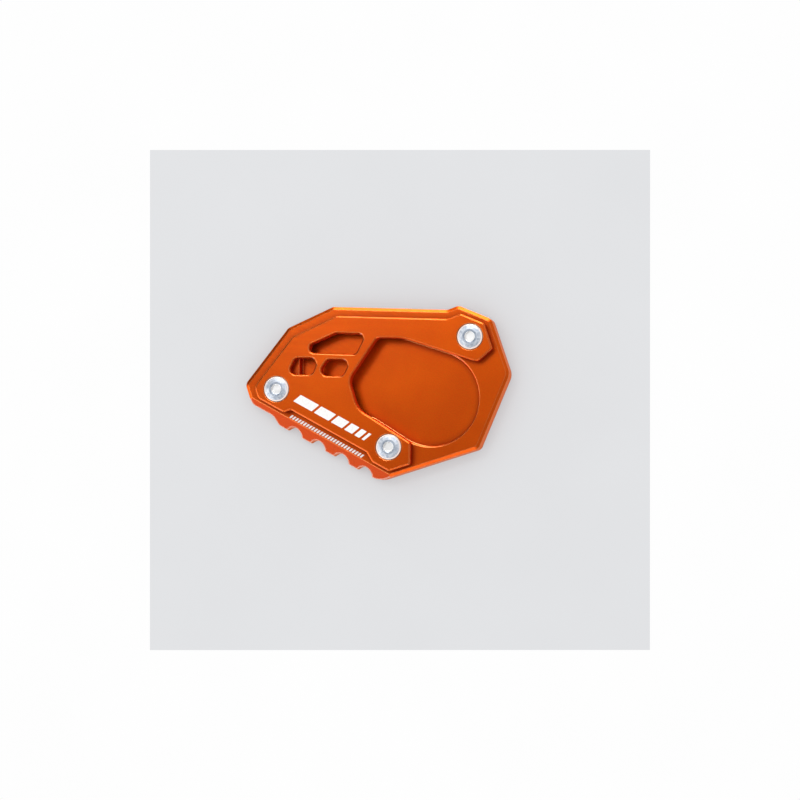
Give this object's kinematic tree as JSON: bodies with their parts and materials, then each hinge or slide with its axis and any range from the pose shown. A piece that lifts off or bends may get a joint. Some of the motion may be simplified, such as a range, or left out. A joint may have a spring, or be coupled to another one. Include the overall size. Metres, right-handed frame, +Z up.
{
  "type": "kickstand foot enlarger",
  "caption": "Orange anodised foot enlarger for a motorbike kickstand: a pocketed base plate with a toothed edge, under a C-shaped cover plate held by button-head screws.",
  "frame": {"origin": "middle of the flat ground face of the base plate", "axes": "+X along the length, from the nose with the left screw towards the tail where the stand's leg comes out; +Y towards the straight upper edge, away from the teeth; +Z up out of the ground face through the cover plate"},
  "size_m": [0.1118, 0.0722, 0.0142],
  "materials": {
    "orange_anodised": "fine-milled, anodised orange, satin",
    "bright_steel": "bright zinc plated, turned"
  },
  "bodies": {
    "root": {"base_plate": "orange_anodised", "cover_plate": "orange_anodised", "screw_left": "bright_steel", "screw_right": "bright_steel", "screw_lower": "bright_steel"}
  },
  "joints": []
}
